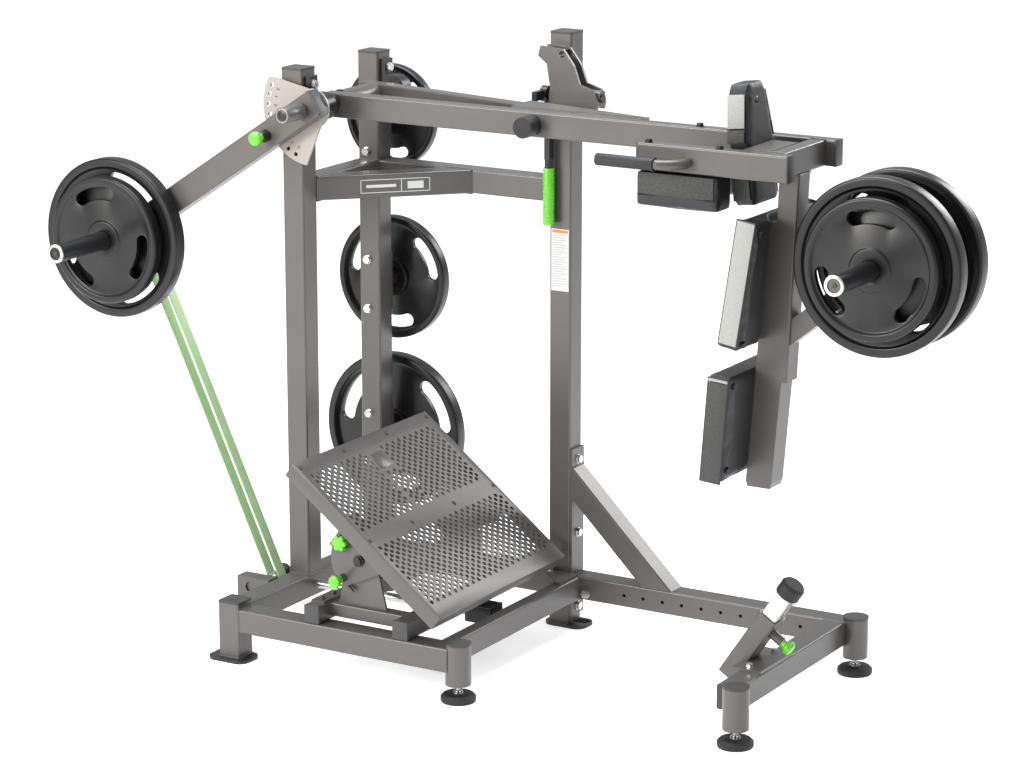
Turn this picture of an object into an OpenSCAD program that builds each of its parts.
// Plate-loaded pendulum squat and leg press machine, in millimetres.
// The origin is on the floor, on the machine's middle plane, under the outer face of the tower.
// +X runs from the tower towards the back pads, +Y away from the counterweight side, +Z up.

/* [Frame] */
// Outer size of the square frame tubes
tube = 65; // [60:1:70]
// Wall of every steel tube
wall = 3; // [2:0.5:4]
// Height of the top face of the floor beams
beam_top = 145; // [140:1:160]
// Middle of the front floor beam, measured sideways
front_y = -290; // [-310:1:-280]
// Middle of the storage side floor beam, measured sideways
back_y = 432; // [420:1:450]
// Middle of the pivot upright, measured sideways
pivot_post_y = 62; // [55:1:70]
// Height of the pivot and storage uprights
tower_h = 1539; // [1520:1:1600]
// Height of the upright that carries the safety catch
catch_post_h = 1635; // [1600:1:1700]
// Left face of the catch upright
catch_post_x = 611; // [600:1:620]
// Underside of the upper frame tubes
upper_z = 1180; // [1100:1:1200]
// Far end of the rear floor frame
rear_end_x = 1508; // [1480:1:1560]

/* [Pivot and swing arm] */
// Pivot axis, measured along the machine
pivot_x = 105; // [100:1:115]
// Height of the pivot axis
pivot_z = 1444; // [1430:1:1460]
// Diameter of the pivot shaft
shaft_d = 36; // [30:1:40]
// Running clearance round the shaft, on the radius
run_gap = 0.05; // [0.02:0.01:0.1]
// Sideways distance of each shoulder tube from the middle plane
shoulder_y = 135; // [130:1:145]
// Free end of the shoulder tubes
arm_end_x = 1583; // [1570:1:1600]
// Width of the swing arm tubes
arm_w = 40; // [36:1:45]

/* [Counterweight] */
// Angle of the counterweight arm, anticlockwise from +X
weight_angle = 213.25; // [200:0.25:225]
// Distance from the pivot to the counterweight horn
weight_reach = 717; // [680:1:740]
// Radius of the selector holes
selector_r = 137; // [130:1:140]
// Angle between two selector holes
selector_step = 11.25; // [10:0.25:12]

/* [Weight plates] */
// Diameter of the large plates
large_d = 440; // [430:1:450]
// Diameter of the medium plates
medium_d = 350; // [330:1:370]
// Diameter of the small plate
small_d = 290; // [270:1:310]
// Thickness of the large plates
large_t = 44; // [38:1:46]
// Thickness of the medium plates
medium_t = 36; // [30:1:40]
// Diameter of the plate horns
horn_d = 50; // [48:0.5:50]

/* [Foot platform] */
// Width of the foot platform
foot_w = 645; // [600:1:660]
// Length of the foot platform along its slope
foot_l = 566; // [540:1:590]
// Slope of the foot platform, from level
foot_slope = 37.9; // [34:0.1:40]
// Depth of the folded edges of the foot platform
foot_skirt = 42; // [36:1:46]

/* [Hidden] */

frame_c = "#5c5a58";
cap_c = "#3c3c40";
steel_c = "#c4c4c0";
black_c = "#1c1c1e";
pad_c = "#26262a";
green_c = "#6fd424";
plate_c = "#2b2b2e";
light_c = "#b8b0a6";
band_c = "#8fbf7e";

corner_r = 5;
cap_t = 6;
foot_plate_t = 8;
beam_z = beam_top - tube / 2;
upright_x = tube / 2;
catch_x = catch_post_x + tube / 2;
half_tube = tube / 2;
front_face = front_y - half_tube;
front_inner = front_y + half_tube;
back_inner = back_y - half_tube;
back_outer = back_y + half_tube;
pivot_front = pivot_post_y - half_tube;
pivot_back = pivot_post_y + half_tube;
corner_x = 42.5;
side_beam_w = 40;
right_beam_x = 691;
post_d = 67;
near_post = [741, front_y];
far_post = [rear_end_x + 17, back_y];
low_post = [rear_end_x, -230];
post_bottom = 45;
post_top = 152;
upper_c = upper_z + half_tube;
bore_d = shaft_d + 2 * run_gap;
arm_z = pivot_z - 4;
arm_h = 66;
near_face = -33;
weight_w = 48;
weight_h = 72;
weight_y = near_face + weight_w / 2;
plate_seat = near_face - 8;
sel_t = 6;
sel_y = 17;
horn_x = 1787;
horn_z = 1212;
horn_len = 277;
horn_seat = 40;
plate_bore = horn_d + 1;
arm_drop = 30;
foot_top = [260, 572];
tilt_x = 425;
tilt_z = 320;
cross_x = arm_end_x - 48.5;
plate_x = 1444;
lug_y = 258;
lug_t = 7;
stop_lean = 33.4;
stop_base = [1407, 145];
stop_pin_h = 114;
// Half a lug plus a hair, so each pin rests just clear of the plate it locks
pin_short = 3.3;

// A rectangle with exact rounded corners
module round_rect(w, h, r) {
    square([w - 2 * r, h], center = true);
    square([w, h - 2 * r], center = true);
    for (sx = [-1, 1], sy = [-1, 1])
        translate([sx * (w / 2 - r), sy * (h / 2 - r)]) circle(r, $fn = 32);
}

// A hollow tube section, extruded along Z
module box_tube(w, h, len) {
    linear_extrude(len)
        difference() {
            round_rect(w, h, corner_r);
            round_rect(w - 2 * wall, h - 2 * wall, corner_r - wall / 2);
        }
}

// Tubes along each axis, between two stations, round a centre line
module tube_x(x0, x1, y, z, w, h) {
    translate([x0, y, z]) rotate([90, 0, 90]) box_tube(w, h, x1 - x0);
}
module tube_y(y0, y1, x, z, w, h) {
    translate([x, y1, z]) rotate([90, 0, 0]) box_tube(w, h, y1 - y0);
}
module tube_z(z0, z1, x, y, w, h) {
    translate([x, y, z0]) box_tube(w, h, z1 - z0);
}

// A cylinder along Y between two stations
module rod_y(x, z, y0, y1, d) {
    translate([x, y1, z]) rotate([90, 0, 0]) cylinder(d = d, h = y1 - y0, $fn = 48);
}

// A cylinder along X between two stations
module rod_x(x0, x1, y, z, d) {
    translate([x0, y, z]) rotate([0, 90, 0]) cylinder(d = d, h = x1 - x0, $fn = 48);
}

// A hexagon bolt head with a washer, standing on a face and pointing along +Z
module bolt_head(d) {
    cylinder(d = 2.1 * d, h = 0.16 * d, $fn = 32);
    translate([0, 0, 0.16 * d]) cylinder(d = 1.9 * d, h = 0.64 * d, $fn = 6);
}

// Bolt heads on a face that looks along -Y, +X or +Z
module bolt_front(p, d = 10) { translate(p) rotate([90, 0, 0]) bolt_head(d); }
module bolt_right(p, d = 10) { translate(p) rotate([0, 90, 0]) bolt_head(d); }
module bolt_up(p, d = 10) { translate(p) bolt_head(d); }

// A base plate with rounded corners
module foot_plate(x0, x1, y0, y1) {
    translate([(x0 + x1) / 2, (y0 + y1) / 2, 0])
        linear_extrude(foot_plate_t) round_rect(x1 - x0, y1 - y0, 28);
}

// A round hole through a base plate
module anchor_hole(x, y) {
    translate([x, y, -1]) cylinder(d = 14, h = foot_plate_t + 2, $fn = 32);
}

// The knob of a pull pin, standing on Z = 0: waist, flared grip and rounded end
module pull_knob(d) {
    rotate_extrude($fn = 48)
        polygon([[0, 0], [d * 0.27, 0], [d * 0.3, d * 0.22], [d * 0.42, d * 0.36],
            [d * 0.5, d * 0.5], [d * 0.5, d * 0.72], [d * 0.42, d * 0.84], [0, d * 0.86]]);
}

// ---- tower and floor frame ----

module corner_post() {
    color(frame_c) {
        tube_z(foot_plate_t, beam_top + 11, corner_x, front_y, tube, tube);
        difference() {
            foot_plate(corner_x - 62, corner_x + 60, front_face - 22, front_inner + 2);
            anchor_hole(corner_x - 46, front_y - 8);
        }
    }
}

module front_floor_beam() {
    color(frame_c)
        difference() {
            tube_x(corner_x + half_tube, near_post[0] - 15, front_y, beam_z, tube, tube);
            translate([near_post[0], near_post[1], 0])
                cylinder(d = post_d, h = beam_top + 10, $fn = 64);
        }
}

module side_floor_beam() {
    color(frame_c)
        tube_y(front_inner, back_inner, upright_x, beam_z, tube, tube);
}

module back_floor_beam() {
    color(frame_c)
        tube_x(tube, catch_post_x, back_y, beam_z, tube, tube);
}

module right_floor_beam() {
    color(frame_c) {
        difference() {
            tube_y(front_inner - 10, back_inner - 8, right_beam_x, beam_z, side_beam_w, tube);
            translate([near_post[0], near_post[1], 0])
                cylinder(d = post_d, h = beam_top + 10, $fn = 64);
            translate([0, front_y - tube, 0])
                cube([near_post[0] - 15, tube * 1.5, beam_top + 10]);
        }
        // End plate that ties the beam to the catch upright
        translate([catch_post_x + 6, back_inner - 8, beam_top - tube])
            cube([right_beam_x + side_beam_w / 2 - catch_post_x - 6, 8, tube]);
        // Corner gusset
        translate([0, 0, beam_top])
            linear_extrude(6)
                polygon([[catch_post_x + 2, back_inner], [catch_post_x + 2, back_inner - 16],
                    [right_beam_x - 12, back_inner - 95], [right_beam_x + 12, back_inner - 95],
                    [right_beam_x + 12, back_inner]]);
    }
}

module pivot_upright() {
    color(frame_c)
        tube_z(beam_top, tower_h, upright_x, pivot_post_y, tube, tube);
}

module storage_upright() {
    color(frame_c) {
        tube_z(foot_plate_t, tower_h, upright_x, back_y, tube, tube);
        difference() {
            foot_plate(-24, tube + 24, back_y - half_tube + 2, back_y + half_tube + 46);
            anchor_hole(upright_x, back_outer + 24);
        }
    }
}

module catch_upright() {
    color(frame_c) {
        tube_z(foot_plate_t, catch_post_h, catch_x, back_y, tube, tube);
        difference() {
            foot_plate(catch_post_x - 6, catch_post_x + 118, back_inner - 26, back_inner + 58);
            anchor_hole(catch_post_x + 96, back_inner + 14);
        }
    }
}

module upper_side_tube() {
    color(frame_c) tube_y(pivot_back, back_inner, upright_x, upper_c, tube, tube);
}

module upper_back_tube() {
    color(frame_c) tube_x(tube, catch_post_x, back_y, upper_c, tube, tube);
}

// Diagonal brace at 45 degrees, trimmed flush to the two tubes it joins
module upper_diagonal_tube() {
    reach = back_inner - pivot_back;
    shift = half_tube * sin(45);
    color(frame_c)
        intersection() {
            translate([tube - shift, pivot_back + shift, 0]) rotate([0, 0, 45])
                tube_x(-tube * 2, reach * 2, 0, upper_c, tube, tube);
            translate([tube, pivot_back - tube, upper_z - 5])
                cube([reach * 2, reach + tube, tube + 10]);
        }
}

module round_posts() {
    color(frame_c)
        for (p = [near_post, far_post, low_post])
            translate([p[0], p[1], post_bottom])
                difference() {
                    cylinder(d = post_d, h = post_top - post_bottom, $fn = 64);
                    translate([0, 0, -1]) cylinder(d = 12.1, h = 26, $fn = 32);
                    translate([0, 0, 25])
                        cylinder(d = post_d - 2 * wall - 2, h = post_top, $fn = 64);
                }
}

// Ten adjustment holes in the rear side beam
module rear_side_beam() {
    plate_x = catch_post_x + tube;
    hole_step = 59.1;
    color(frame_c) {
        difference() {
            tube_x(plate_x + 8, rear_end_x, back_y, beam_z, tube, tube);
            for (i = [0 : 9])
                rod_y(847.5 + i * hole_step, beam_z, back_inner - 1, back_outer + 1, 10);
            translate([far_post[0], far_post[1], 0])
                cylinder(d = post_d, h = beam_top + 10, $fn = 64);
        }
        // Flange that bolts to the catch upright
        translate([plate_x, back_inner, 28]) cube([8, tube, 472]);
    }
}

module rear_cross_beam() {
    beam_x = rear_end_x - half_tube;
    color(frame_c)
        difference() {
            tube_y(low_post[1] + 25, back_inner, beam_x, beam_z, tube, tube);
            translate([low_post[0], low_post[1], 0])
                cylinder(d = post_d, h = beam_top + 10, $fn = 64);
        }
}

module rear_brace() {
    plate_x = catch_post_x + tube + 8;
    color(frame_c)
        intersection() {
            translate([plate_x, back_y, 404.5]) rotate([0, 44.8, 0])
                tube_x(-tube * 2, 700, 0, 0, tube, tube);
            translate([plate_x, back_inner - 5, beam_top]) cube([500, tube + 10, 500]);
        }
}

// Push-in caps on the open tube ends
module frame_caps() {
    module square_cap(x, y, z) {
        translate([x, y, z]) linear_extrude(cap_t) round_rect(tube + 1, tube + 1, corner_r);
    }
    color(cap_c) {
        square_cap(corner_x, front_y, beam_top + 11);
        square_cap(upright_x, pivot_post_y, tower_h);
        square_cap(upright_x, back_y, tower_h);
        square_cap(catch_x, back_y, catch_post_h);
        for (p = [near_post, far_post, low_post])
            translate([p[0], p[1], post_top]) cylinder(d = post_d + 1, h = 5, $fn = 64);
        // Caps on the near end of the rear cross beam
        translate([rear_end_x - half_tube - 14, low_post[1] + 25, beam_z]) rotate([90, 0, 0])
            linear_extrude(4) round_rect(tube - 29, tube, corner_r);
    }
}

module frame_bolts() {
    flange_x = catch_post_x + tube + 8;
    color(steel_c) {
        for (z = [469, 261]) bolt_right([flange_x, back_y, z], 12);
        bolt_right([flange_x, back_y, 50], 12);
        bolt_front([flange_x + 44, back_inner, 98], 12);
        bolt_up([catch_post_x + 12, back_inner - 12, beam_top + 6], 10);
        for (z = [1266, 1414, 961, 821, 519, 379])
            bolt_front([upright_x - 6, back_inner, z], 12);
        for (y = [pivot_post_y, back_y], s = [-1, 1])
            bolt_right([tube + 16, y, pivot_z + s * 57], 12);
        bolt_up([stop_base[0] + 58, -70, beam_top + 8], 10);
        bolt_up([stop_base[0] + 58, 70, beam_top + 8], 10);
    }
}

// Two pillow-block bearings on the right faces of the tower uprights
module pivot_bearings() {
    color(black_c)
        for (y = [pivot_post_y, back_y])
            difference() {
                union() {
                    translate([tube, y - 19, pivot_z - 80]) cube([16, 38, 160]);
                    rod_y(pivot_x, pivot_z, y - 19, y + 19, 74);
                    translate([tube + 4, y - 19, pivot_z - 37]) cube([34, 38, 74]);
                }
                rod_y(pivot_x, pivot_z, y - 25, y + 25, bore_d);
            }
}

horn_levels = [1350, 891, 449];
storage_len = 190;

module storage_horns() {
    for (z = horn_levels) {
        color(frame_c)
            translate([upright_x, back_outer + 6, z]) rotate([90, 0, 0])
                linear_extrude(6) round_rect(60, 176, 8);
        color(black_c)
            difference() {
                rod_y(upright_x, z, back_outer + 6, back_outer + storage_len, horn_d);
                rod_y(upright_x, z, back_outer + 40, back_outer + storage_len + 1, horn_d - 12);
            }
    }
}

// Bracket box on the outside of the side beam, with the lower band peg
module band_anchor() {
    peg_x = -62;
    peg_z = 119;
    color(frame_c)
        difference() {
            translate([-104, -72, 86]) cube([104, 44, 61]);
            translate([-100, -60, 90]) cube([90, 45, 53]);
            rod_y(peg_x, peg_z, -80, -66, 30);
        }
    color(steel_c) rod_y(peg_x, peg_z, -28, 96, 28);
    color(black_c) rod_y(peg_x, peg_z, 88, 96, 52);
}

// Latch housing on the front face of the catch upright
module catch_bracket() {
    face_y = back_inner;
    axle_z = 1476;
    color(cap_c)
        difference() {
            union() {
                for (y = [face_y - 8, face_y - 46])
                    translate([0, y + 8, 0]) rotate([90, 0, 0]) linear_extrude(8)
                        polygon([[catch_post_x - 4, 1606], [catch_post_x + 66, 1602],
                            [catch_post_x + 98, 1560], [catch_post_x + 116, 1512],
                            [catch_post_x + 160, 1498], [catch_post_x + 172, 1466],
                            [catch_post_x + 168, 1448], [catch_post_x + 20, 1448],
                            [catch_post_x + 26, 1500], [catch_post_x + 16, 1560],
                            [catch_post_x - 10, 1580]]);
                translate([catch_post_x + 40, face_y - 38, 1560]) cube([26, 30, 36]);
            }
            rod_y(catch_post_x + 62, 1588, face_y - 50, face_y + 1, 18);
            rod_x(catch_post_x - 20, catch_post_x + 200, face_y - 23, axle_z, 27);
        }
    color(black_c)
        difference() {
            rod_x(catch_post_x + 30, catch_post_x + 172, face_y - 23, axle_z, 44);
            rod_x(catch_post_x, catch_post_x + 200, face_y - 23, axle_z, 24 + 2 * run_gap);
            translate([catch_post_x + 20, face_y - 8, axle_z - 30]) cube([200, 20, 60]);
            translate([catch_post_x + 20, face_y - 58, axle_z - 30]) cube([200, 20, 60]);
        }
}

// Axle, hook and hanging hand lever of the safety catch
module catch_lever() {
    y = back_inner - 23;
    axle_z = 1476;
    grip_x = 621;
    color(steel_c) rod_x(catch_post_x - 6, catch_post_x + 176, y, axle_z, 24);
    color(black_c) {
        rod_x(catch_post_x - 8, catch_post_x + 12, y, axle_z, 44);
        translate([grip_x - 8, y - 11, 1300]) cube([16, 22, 162]);
        translate([grip_x, y, 1276]) cylinder(d = 22, h = 30, $fn = 32);
    }
    color(green_c) translate([grip_x, y, 1124]) cylinder(d = 30, h = 152, $fn = 48);
    // Latch tongue that reaches towards the swing arm
    color(black_c)
        translate([catch_post_x - 8, y - 60, axle_z - 12]) cube([14, 60, 24]);
}

// Slide rod under the foot platform, between the two side beams
rod_h = 116;
rod_y0 = 58;
rod_d = 22;

module guide_rod() {
    color(steel_c) rod_x(tube, right_beam_x - side_beam_w / 2, rod_y0, rod_h, rod_d);
}

// ---- levelling feet ----

module levelling_foot(p) {
    translate([p[0], p[1], 0]) {
        color(black_c)
            rotate_extrude($fn = 64)
                polygon([[0, 0], [44, 0], [46, 4], [46, 14], [40, 20], [12, 22], [0, 22]]);
        color(steel_c) {
            translate([0, 0, 22]) cylinder(d = 12, h = 46, $fn = 32);
            translate([0, 0, 22]) cylinder(d = 22, h = 8, $fn = 6);
        }
    }
}
module levelling_foot_front() { levelling_foot(near_post); }
module levelling_foot_near() { levelling_foot(low_post); }
module levelling_foot_far() { levelling_foot(far_post); }

// ---- adjustable stop ----

// Places children on the leaning axis of the stop post
module on_stop_axis() {
    translate([stop_base[0], 0, stop_base[1]]) rotate([0, stop_lean, 0]) children();
}

module stop_post() {
    color(frame_c) {
        on_stop_axis()
            difference() {
                translate([0, 0, -52]) box_tube(52, 62, 206);
                translate([0, 0, stop_pin_h]) rotate([0, 90, 0]) cylinder(d = 12.1, h = 40, $fn = 32);
            }
        // Base plate on the rear cross beam, cut round the post
        difference() {
            translate([stop_base[0] + 18, -92, beam_top]) cube([82, 184, 8]);
            on_stop_axis() translate([-26, -31, -60]) cube([52, 62, 260]);
        }
        // Pin collar on the rear face of the post
        on_stop_axis() translate([26, 0, stop_pin_h]) rotate([0, 90, 0])
            difference() {
                cylinder(d = 26, h = 34, $fn = 48);
                translate([0, 0, -1]) cylinder(d = 12.1, h = 40, $fn = 32);
            }
    }
}

module stop_bar() {
    color(steel_c)
        on_stop_axis()
            difference() {
                translate([0, 0, 20]) linear_extrude(206)
                    difference() {
                        round_rect(44, 54, 4);
                        round_rect(36, 46, 2);
                    }
                for (i = [0 : 3]) translate([0, 0, stop_pin_h + (i - 1) * 28]) rotate([0, 90, 0])
                    cylinder(d = 12.2, h = 60, center = true, $fn = 32);
            }
}

module stop_bumper() {
    color(black_c)
        on_stop_axis() translate([0, 0, 226])
            rotate_extrude($fn = 64)
                polygon([[0, 0], [32, 0], [32, 30], [27, 37], [0, 38]]);
}

module stop_pin() {
    color(steel_c)
        on_stop_axis() translate([22.4, 0, stop_pin_h]) rotate([0, 90, 0]) cylinder(d = 12, h = 39, $fn = 32);
    color(green_c)
        on_stop_axis() translate([61.4, 0, stop_pin_h]) rotate([0, 90, 0]) pull_knob(36);
}

// ---- swing arm ----

module pivot_shaft() {
    color(steel_c)
        difference() {
            rod_y(pivot_x, pivot_z, -122, back_outer + 8, shaft_d);
            rod_y(pivot_x, pivot_z, -123, -60, shaft_d - 9);
        }
    // Hub sleeve between the boom and the strut
    color(frame_c)
        difference() {
            rod_y(pivot_x, pivot_z, shoulder_y + arm_w / 2, 316, 62);
            rod_y(pivot_x, pivot_z, 100, 400, shaft_d);
        }
    color(black_c)
        difference() {
            rod_y(pivot_x, pivot_z, pivot_back + 2, shoulder_y - arm_w / 2, 52);
            rod_y(pivot_x, pivot_z, 80, 140, shaft_d);
        }
}

// Fan plate with nine selector holes, fixed to the shaft
module selector_plate() {
    color(light_c)
        translate([pivot_x, sel_y + sel_t, pivot_z]) rotate([90, 0, 0])
            linear_extrude(sel_t)
                difference() {
                    union() {
                        circle(53, $fn = 64);
                        intersection() {
                            circle(selector_r + 18, $fn = 128);
                            polygon([[0, 0], [-12, 52], [-98, 71], [-150, 76], [-220, 0],
                                [-160, -160], [-36, -190], [26, -47]]);
                        }
                    }
                    circle(d = shaft_d, $fn = 48);
                    for (i = [-5 : 3])
                        rotate([0, 0, weight_angle + i * selector_step])
                            translate([selector_r, 0]) circle(d = 12.2, $fn = 32);
                }
}

module swing_boom() {
    color(frame_c)
        difference() {
            union() {
                tube_x(80, arm_end_x - 4, shoulder_y, arm_z, arm_w, arm_h);
                translate([80, shoulder_y - arm_w / 2 + wall, arm_z - arm_h / 2 + wall])
                    cube([55, arm_w - 2 * wall, arm_h - 2 * wall]);
            }
            rod_y(pivot_x, pivot_z, 50, 220, shaft_d);
        }
    color(cap_c)
        translate([arm_end_x - 4, shoulder_y, arm_z]) rotate([90, 0, 90])
            linear_extrude(4) round_rect(arm_w, arm_h, corner_r);
    // Rubber-faced side bumper
    color(black_c) rod_y(722, arm_z - 2, shoulder_y - arm_w / 2 - 52, shoulder_y - arm_w / 2, 54);
}

// Slanted tube from the far end of the hub to the middle of the boom
module swing_strut() {
    strut_start = [62, 344];
    strut_turn = -11.9;
    boom_face = shoulder_y + arm_w / 2;
    color(frame_c) {
        difference() {
            translate([strut_start[0], strut_start[1], 0]) rotate([0, 0, strut_turn])
                union() {
                    tube_x(0, 1100, 0, arm_z, arm_w, arm_h);
                    translate([6, -arm_w / 2 + wall, arm_z - arm_h / 2 + wall])
                        cube([72, arm_w - 2 * wall, arm_h - 2 * wall]);
                }
            translate([0, boom_face - 500, 0]) cube([2000, 500, 2000]);
            rod_y(pivot_x, pivot_z, 250, 420, shaft_d);
        }
        // Web plate between the strut and the boom
        translate([0, 0, arm_z + arm_h / 2])
            linear_extrude(5)
                polygon([[640, boom_face - 6], [1040, boom_face - 6], [1040, boom_face + 6],
                    [640, boom_face + 92]]);
    }
}

// Near shoulder tube with the cross tube and top plate that carry the head pad and spine
module near_shoulder_tube() {
    span = shoulder_y - arm_w / 2;
    color(frame_c) {
        tube_x(1177, arm_end_x - 4, -shoulder_y, arm_z, arm_w, arm_h);
        tube_y(-span, span, cross_x, arm_z, arm_w, arm_h);
        translate([plate_x, -span, arm_z + arm_h / 2 - 8])
            cube([cross_x - arm_w / 2 - plate_x, span + 45, 8]);
    }
    color(cap_c)
        for (x = [1173, arm_end_x - 4])
            translate([x, -shoulder_y, arm_z]) rotate([90, 0, 90])
                linear_extrude(4) round_rect(arm_w, arm_h, corner_r);
}

// Leaning spine: an upper tube and a wider pad carrier below it
module spine_tube() {
    color(frame_c) {
        difference() {
            translate([1529, 0, arm_z - arm_h / 2]) rotate([0, 2.6, 0])
                translate([0, 0, -520]) box_tube(54, tube, 540);
            translate([1400, -60, arm_z - arm_h / 2]) cube([300, 120, 100]);
            rotate([90, 0, 0]) translate([0, 0, -60]) linear_extrude(120) carrier_outline();
        }
        difference() {
            rotate([90, 0, 0]) translate([0, 0, -half_tube]) linear_extrude(tube)
                carrier_outline();
            // Hollow inside of the carrier
            rotate([90, 0, 0]) translate([0, 0, -half_tube + wall])
                linear_extrude(tube - 2 * wall)
                    polygon([[1458, 890], [1512, 890], [1491, 628], [1432, 628]]);
        }
    }
}

module carrier_outline() {
    difference() {
        polygon([[1476, 1284], [1426, 624], [1430, 610], [1492, 610], [1497, 624], [1520, 905],
            [1516, 1268], [1504, 1286]]);
        translate([1508, 1276]) difference() {
            square([24, 24]);
            circle(r = 8, $fn = 24);
        }
    }
}

// Inclined bracket with a horn on each side and the tongue that meets the stop
module horn_bracket() {
    bracket_len = 365;
    ring = 6;
    color(frame_c) {
        difference() {
            translate([1522, 0, 1000]) rotate([0, -39.5, 0]) rotate([90, 0, 90])
                linear_extrude(bracket_len) square(50, center = true);
            // Trimmed to the back of the spine
            translate([1380, -60, 900]) rotate([0, 2.6, 0]) cube([150, 120, 300]);
        }
        translate([1796, -21, 1236]) cube([132, 42, 12]);
        for (s = [-1, 1])
            rod_y(horn_x, horn_z, min(s * 15, s * horn_seat), max(s * 15, s * horn_seat), 104);
    }
    color(black_c)
        for (s = [-1, 1])
            rod_y(horn_x, horn_z, min(s * 30, s * (horn_seat + horn_len - ring)),
                max(s * 30, s * (horn_seat + horn_len - ring)), horn_d);
    color(steel_c)
        for (s = [-1, 1]) scale_y(s)
            difference() {
                rod_y(horn_x, horn_z, horn_seat + horn_len - ring, horn_seat + horn_len, horn_d);
                rod_y(horn_x, horn_z, horn_seat + horn_len - ring / 2, horn_seat + horn_len + 1,
                    horn_d - 14);
            }
}

// Two hand grips that bend forward from the shoulder tubes
module arm_grips() {
    bend_r = 60;
    grip_z = arm_z - 6;
    for (s = [-1, 1]) {
        face = s * (shoulder_y + arm_w / 2);
        color(frame_c)
            translate([1256, face, grip_z]) scale_y(s)
                rotate_extrude(angle = 90, $fn = 64) translate([bend_r, 0]) circle(d = 25, $fn = 32);
        color(black_c)
            rod_x(1098, 1256, face + s * bend_r, grip_z, 30);
    }
}

// Mirrors children across the middle plane when s is negative
module scale_y(s) {
    if (s < 0) mirror([0, 1, 0]) children();
    else children();
}

module arm_bolts() {
    color(steel_c) {
        for (x = [1198, 1392], s = [-1, 1])
            bolt_up([x, s * shoulder_y, arm_z + arm_h / 2], 10);
        for (p = [[1445.8, 892], [1429.6, 678]], s = [-1, 1])
            translate([p[0], s * 148, p[1]]) rotate([0, 94.33, 0]) bolt_head(9);
        for (p = [[1509.6, 1276], [1467.9, 1000]], s = [-1, 1])
            translate([p[0], s * 148, p[1]]) rotate([0, 98.6, 0]) bolt_head(9);
        translate([1437, -34, 1584]) rotate([0, -6.8, 0]) rotate([0, 90, 0]) bolt_head(9);
    }
}

// Pads, drawn as plain closed solids on their leaning lines
module leaning_pad(x, z, lean, t, w, h) {
    color(pad_c)
        translate([x, 0, z]) rotate([0, lean, 0]) translate([-t, -w / 2, 0])
            rotate([90, 0, 90]) translate([w / 2, h / 2, 0]) linear_extrude(t) round_rect(w, h, 14);
}

// The head pad stands in the opening between the arm tubes and reaches below them
module head_pad() {
    color(pad_c)
        translate([1437, 0, 1480.3]) rotate([0, -6.8, 0]) rotate([90, 0, -90])
            linear_extrude(56)
                difference() {
                    polygon([[-62, -162], [62, -162], [74, -150], [74, -30], [80, 0], [54, 128],
                             [36, 150], [-36, 150], [-54, 128], [-80, 0], [-74, -30],
                             [-74, -150]]);
                    translate([0, 200]) square([60, 20], center = true);
                }
}

module shoulder_pads() {
    pad_h = 92;
    color(pad_c)
        for (s = [-1, 1])
            translate([1286, s * 119, arm_z - arm_h / 2 - 0.4 - pad_h]) rotate([90, 0, 90])
                translate([0, pad_h / 2, -114]) linear_extrude(228) round_rect(82, pad_h, 12);
}

// The upper pad is relieved at the back, in a wedge round the spine
module upper_back_pad() {
    color(pad_c)
        difference() {
            leaning_pad(1464, 976, 8.6, 58, 344, 336);
            translate([1425.4, 0, 624]) rotate([0, 4.33, 0])
                linear_extrude(700)
                    polygon([[-0.4, -34], [90, -186], [90, 186], [-0.4, 34]]);
        }
}
module lower_back_pad() { leaning_pad(1426.4, 639, 4.33, 62, 344, 286); }

// ---- weight plates ----

// A cast plate with a bore, a rim, a hub and three finger slots, lying along +Z
module weight_plate(d, t) {
    r = d / 2;
    rim = 0.1 * r;
    front_dish = 0.14 * t;
    back_dish = 0.44 * t;
    slot = 0.2 * r;
    slot_r = 0.74 * r;
    slot_a = 21;
    difference() {
        rotate_extrude($fn = 96)
            polygon([[plate_bore / 2, 0], [52, 0], [56, back_dish], [r - rim - 8, back_dish],
                [r - rim, 0], [r - 4, 0], [r, 4], [r, t - 4], [r - 4, t], [r - rim, t],
                [r - rim - 6, t - front_dish], [56, t - front_dish], [52, t],
                [plate_bore / 2, t]]);
        for (i = [0 : 2])
            rotate([0, 0, 90 + i * 120]) {
                translate([0, 0, -1])
                    rotate([0, 0, -slot_a])
                        rotate_extrude(angle = 2 * slot_a, $fn = 96)
                            translate([slot_r - slot / 2, 0]) square([slot, t + 2]);
                for (a = [-slot_a, slot_a])
                    rotate([0, 0, a]) translate([slot_r, 0, -1])
                        cylinder(d = slot, h = t + 2, $fn = 32);
            }
    }
}

// A plate standing on a horn, with its front face towards -Y or +Y
module plate_on(x, z, y, d, t, side) {
    color(plate_c)
        translate([x, y, z]) rotate([side < 0 ? 90 : -90, 0, 0]) weight_plate(d, t);
}

module near_large_plate() { plate_on(horn_x, horn_z, -horn_seat - 0.3, large_d, large_t, -1); }
module near_medium_plate() {
    plate_on(horn_x, horn_z, -horn_seat - large_t - 0.8, medium_d, medium_t, -1);
}
module far_large_plate() { plate_on(horn_x, horn_z, horn_seat + 0.3, large_d, large_t, 1); }
module far_medium_plate() {
    plate_on(horn_x, horn_z, horn_seat + large_t + 0.8, medium_d, medium_t, 1);
}

module storage_plate_top() { storage_plate(0, small_d, 30); }
module storage_plate_middle() { storage_plate(1, medium_d, medium_t); }
module storage_plate_low() { storage_plate(2, large_d, large_t); }

module storage_plate(i, d, t) {
    plate_on(upright_x, horn_levels[i], back_outer + 42, d, t, 1);
}

// ---- counterweight arm ----

// Places children with +X along the counterweight arm
module on_weight_arm() {
    translate([pivot_x, 0, pivot_z]) rotate([0, -weight_angle, 0]) children();
}

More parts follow.
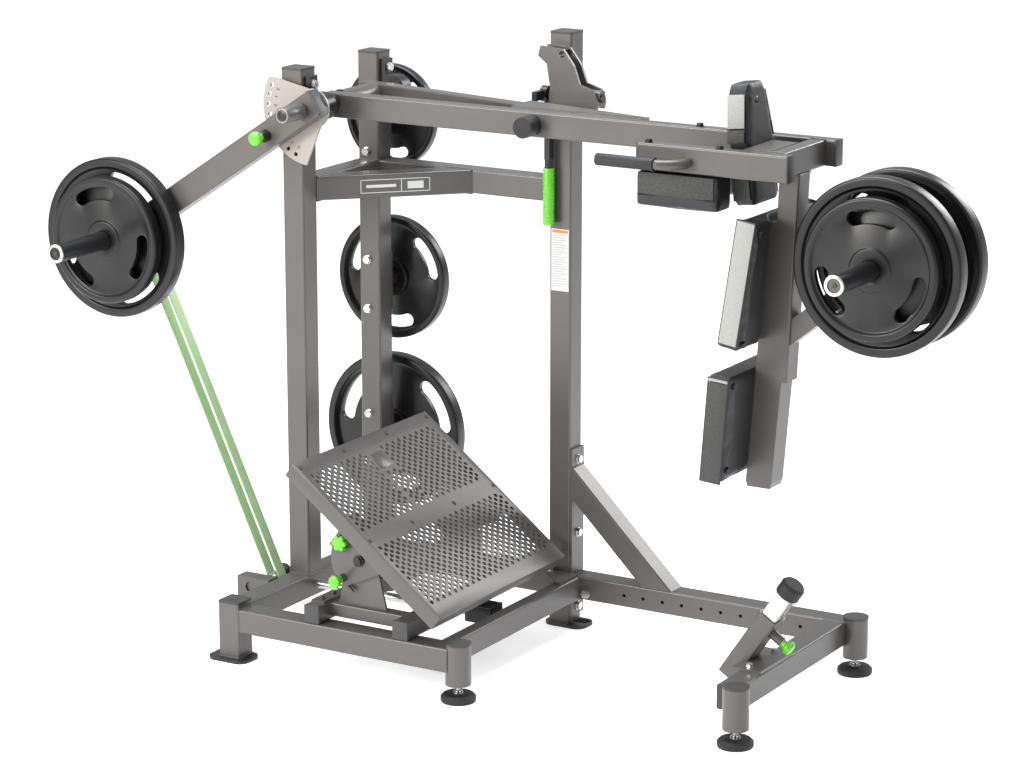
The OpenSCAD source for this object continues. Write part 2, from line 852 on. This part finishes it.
module weight_arm() {
    color(frame_c)
        on_weight_arm()
            difference() {
                tube_x(-43, weight_reach + 44, weight_y, 0, weight_w, weight_h);
                rod_y(0, 0, near_face - 1, near_face + weight_w + 1, 46);
                rod_y(selector_r, 0, near_face - 1, near_face + weight_w + 1, 12.1);
            }
    // Bush welded into the arm
    color(steel_c)
        difference() {
            rod_y(pivot_x, pivot_z, near_face - 2, near_face + weight_w + 1.6, 46);
            rod_y(pivot_x, pivot_z, near_face - 5, near_face + weight_w + 5, bore_d);
        }
    color(cap_c)
        on_weight_arm()
            for (x = [-47, weight_reach + 44])
                translate([x, weight_y, 0]) rotate([90, 0, 90])
                    linear_extrude(4) round_rect(weight_w, weight_h, corner_r);
    // Collar of the pull pin
    color(black_c)
        on_weight_arm()
            difference() {
                rod_y(selector_r, 0, near_face - 26, near_face, 28);
                rod_y(selector_r, 0, near_face - 30, near_face + 4, 12.1);
            }
}

module weight_arm_horn() {
    horn_tip = near_face - 296;
    color(frame_c) on_weight_arm() rod_y(weight_reach, 0, plate_seat, near_face, 104);
    color(black_c) on_weight_arm() rod_y(weight_reach, 0, horn_tip + 6, plate_seat, horn_d);
    color(steel_c)
        on_weight_arm()
            difference() {
                rod_y(weight_reach, 0, horn_tip, horn_tip + 6, horn_d);
                rod_y(weight_reach, 0, horn_tip - 1, horn_tip + 3, horn_d - 14);
            }
    // Upper band peg on the back of the arm
    color(steel_c) on_weight_arm() rod_y(weight_reach, 0, near_face + weight_w, 96, 28);
    color(black_c) on_weight_arm() rod_y(weight_reach, 0, 88, 96, 52);
}

module counter_large_plate() {
    on_weight_arm() plate_on(weight_reach, 0, plate_seat - 0.3, large_d, large_t, -1);
}
module counter_medium_plate() {
    on_weight_arm() translate([weight_reach, 0, 0]) rotate([0, -40, 0])
        plate_on(0, 0, plate_seat - large_t - 0.8, medium_d, medium_t, -1);
}

module weight_arm_pin() {
    pin_end = near_face - 27;
    color(steel_c) on_weight_arm() rod_y(selector_r, 0, pin_end, sel_y - 0.3, 12);
    color(green_c)
        on_weight_arm() translate([selector_r, pin_end, 0]) rotate([90, 0, 0]) pull_knob(37);
}

// Two flat strands of one elastic loop between the pegs
module resistance_band() {
    low = [-62, 119];
    high = [pivot_x + weight_reach * cos(weight_angle), pivot_z + weight_reach * sin(weight_angle)];
    run = norm(high - low);
    lean = atan2(high[0] - low[0], high[1] - low[1]);
    color(band_c)
        translate([low[0], 40, low[1]]) rotate([0, lean, 0])
            difference() {
                union() {
                    translate([-19, 0, 0]) cube([38, 36, run]);
                    for (z = [0, run]) rod_y(0, z, 0, 36, 38);
                }
                translate([-15, -1, 0]) cube([30, 38, run]);
                for (z = [0, run]) rod_y(0, z, -1, 37, 30);
            }
}

// ---- foot platform ----

rail_xs = [308.5, 582.5];
rail_w = 47;
rail_z0 = beam_top + 0.4;
rail_z1 = 195;
rail_y0 = -318;
rail_y1 = 452;
brace_y = 245;
lug_in = 249;

module platform_carriage() {
    color(frame_c) {
        difference() {
            for (x = rail_xs)
                tube_y(rail_y0, rail_y1, x, (rail_z0 + rail_z1) / 2, rail_w, rail_z1 - rail_z0);
            translate([rail_xs[1] - 40, rod_y0 - 34, rail_z0 - 1]) cube([80, 68, 6]);
        }
        for (s = [-1, 1])
            tube_x(rail_xs[0] + rail_w / 2, rail_xs[1] - rail_w / 2, s * brace_y, 173.5, 40, 37);
        // Upright lugs that carry the tilt pivot
        for (s = [-1, 1])
            difference() {
                translate([0, s * lug_in, 0]) carriage_lug();
                rod_y(tilt_x, tilt_z, -400, 400, 16.1);
                for (i = [-2 : 2]) tilt_hole(i);
            }
        // Bolted clamp plates on the ends of the first cross rail
        for (y = [rail_y0 + 78, rail_y1 - 78])
            translate([rail_xs[0] - 20, y - 50, rail_z1]) cube([40, 100, 5]);
    }
    // Sliding block on the rod
    color(black_c)
        difference() {
            translate([rail_xs[1] - 14, rod_y0 - 33, rod_h - 17]) cube([78, 66, 50.4]);
            rod_x(rail_xs[1] - 60, rail_xs[1] + 80, rod_y0, rod_h, rod_d + 2 * run_gap);
            translate([rail_xs[1] + rail_w / 2, rod_y0 - 40, rail_z0]) cube([60, 80, 20]);
        }
    color(steel_c)
        for (y = [rail_y0 + 50, rail_y0 + 104, rail_y1 - 50, rail_y1 - 104])
            bolt_up([rail_xs[0], y, rail_z1 + 5], 9);
}

// One carriage lug, from the brace tube up to the tilt pivot
module carriage_lug() {
    rotate([90, 0, 0]) linear_extrude(6, center = true) {
        polygon([[350, 188], [500, 188], [tilt_x + 42, tilt_z], [tilt_x - 42, tilt_z]]);
        translate([tilt_x, tilt_z]) circle(42, $fn = 64);
        translate([tilt_x, tilt_z]) intersection() {
            circle(90, $fn = 96);
            translate([-96, -120]) square([110, 116]);
        }
    }
}

tilt_pin_r = 72;
tilt_pin_angle = 227;
tilt_step = 8;

module tilt_hole(i) {
    a = tilt_pin_angle + i * tilt_step;
    rod_y(tilt_x + tilt_pin_r * cos(a), tilt_z + tilt_pin_r * sin(a), -400, 400, 10.2);
}

// Places children on the platform: X down the slope, Z square to the face
module on_platform() {
    translate([foot_top[0], 0, foot_top[1]]) rotate([0, foot_slope, 0]) children();
}

module foot_platform() {
    sheet = 5;
    half = foot_w / 2;
    color(frame_c) {
        on_platform()
            difference() {
                translate([0, -half, -foot_skirt]) cube([foot_l, foot_w, foot_skirt]);
                translate([sheet, -half + sheet, -foot_skirt - 1])
                    cube([foot_l - 2 * sheet, foot_w - 2 * sheet, foot_skirt + 1 - sheet]);
            }
        // Side plates down to the tilt pivot
        for (s = [-1, 1])
            difference() {
                translate([0, s * (lug_y + lug_t / 2), 0]) rotate([90, 0, 0])
                    linear_extrude(lug_t, center = true) side_plate_outline();
                rod_y(tilt_x, tilt_z, -400, 400, 16);
                if (s < 0) {
                    tilt_hole(0);
                    rod_y(tilt_x - 52, tilt_z + 44, -400, 0, 10.1);
                }
            }
    }
    // Pivot bolts
    color(steel_c)
        for (s = [-1, 1])
            rod_y(tilt_x, tilt_z, min(s * 243, s * (lug_y + lug_t + 7)),
                max(s * 243, s * (lug_y + lug_t + 7)), 16);
    // Collar of the tilt pin
    pin = tilt_pin_angle;
    color(steel_c)
        difference() {
            rod_y(tilt_x + tilt_pin_r * cos(pin), tilt_z + tilt_pin_r * sin(pin),
                -lug_y - lug_t - 20, -lug_y - lug_t, 22);
            tilt_hole(0);
        }
}

// Outline of a side plate between the platform's underside and the pivot
module side_plate_outline() {
    under = foot_skirt - 3;
    difference() {
        union() {
            translate([tilt_x, tilt_z]) circle(90, $fn = 96);
            translate(foot_top) rotate([0, 0, -foot_slope])
                translate([190, -130]) square([180, 130 - 5]);
        }
        // Keep everything under the sheet
        translate(foot_top) rotate([0, 0, -foot_slope])
            translate([-200, -5]) square([1000, 400]);
        // Slanted ends
        translate(foot_top) rotate([0, 0, -foot_slope])
            polygon([[100, -under - 140], [170, -under - 140], [110, -under]]);
        translate(foot_top) rotate([0, 0, -foot_slope])
            polygon([[400, -under - 140], [300, -under - 140], [372, -under]]);
    }
}

module platform_pin() {
    pin_x = tilt_x + tilt_pin_r * cos(tilt_pin_angle);
    pin_z = tilt_z + tilt_pin_r * sin(tilt_pin_angle);
    knob_y = -lug_y - lug_t - 21;
    color(steel_c) rod_y(pin_x, pin_z, knob_y, -lug_in - pin_short, 10);
    color(green_c) translate([pin_x, knob_y, pin_z]) rotate([90, 0, 0]) pull_knob(32);
}

module platform_knob() {
    knob_x = tilt_x - 52;
    knob_z = tilt_z + 44;
    knob_y = -lug_y - lug_t - 4;
    color(steel_c) rod_y(knob_x, knob_z, knob_y, -lug_in - pin_short, 10);
    color(green_c)
        translate([knob_x, knob_y, knob_z]) rotate([90, 0, 0])
            difference() {
                cylinder(d = 44, h = 20, $fn = 64);
                for (i = [0 : 5]) rotate([0, 0, i * 60]) translate([26, 0, -1])
                    cylinder(d = 14, h = 22, $fn = 32);
            }
}

corner_post();
front_floor_beam();
side_floor_beam();
back_floor_beam();
right_floor_beam();
pivot_upright();
storage_upright();
catch_upright();
upper_side_tube();
upper_back_tube();
upper_diagonal_tube();
round_posts();
rear_side_beam();
rear_cross_beam();
rear_brace();
frame_caps();
frame_bolts();
pivot_bearings();
storage_horns();
band_anchor();
catch_bracket();
guide_rod();
stop_post();
catch_lever();
levelling_foot_front();
levelling_foot_near();
levelling_foot_far();
stop_bar();
stop_bumper();
stop_pin();
pivot_shaft();
selector_plate();
swing_boom();
swing_strut();
near_shoulder_tube();
spine_tube();
horn_bracket();
arm_grips();
arm_bolts();
head_pad();
shoulder_pads();
upper_back_pad();
lower_back_pad();
near_large_plate();
near_medium_plate();
far_large_plate();
far_medium_plate();
weight_arm();
weight_arm_horn();
counter_large_plate();
counter_medium_plate();
weight_arm_pin();
resistance_band();
platform_carriage();
foot_platform();
platform_pin();
platform_knob();
storage_plate_top();
storage_plate_middle();
storage_plate_low();
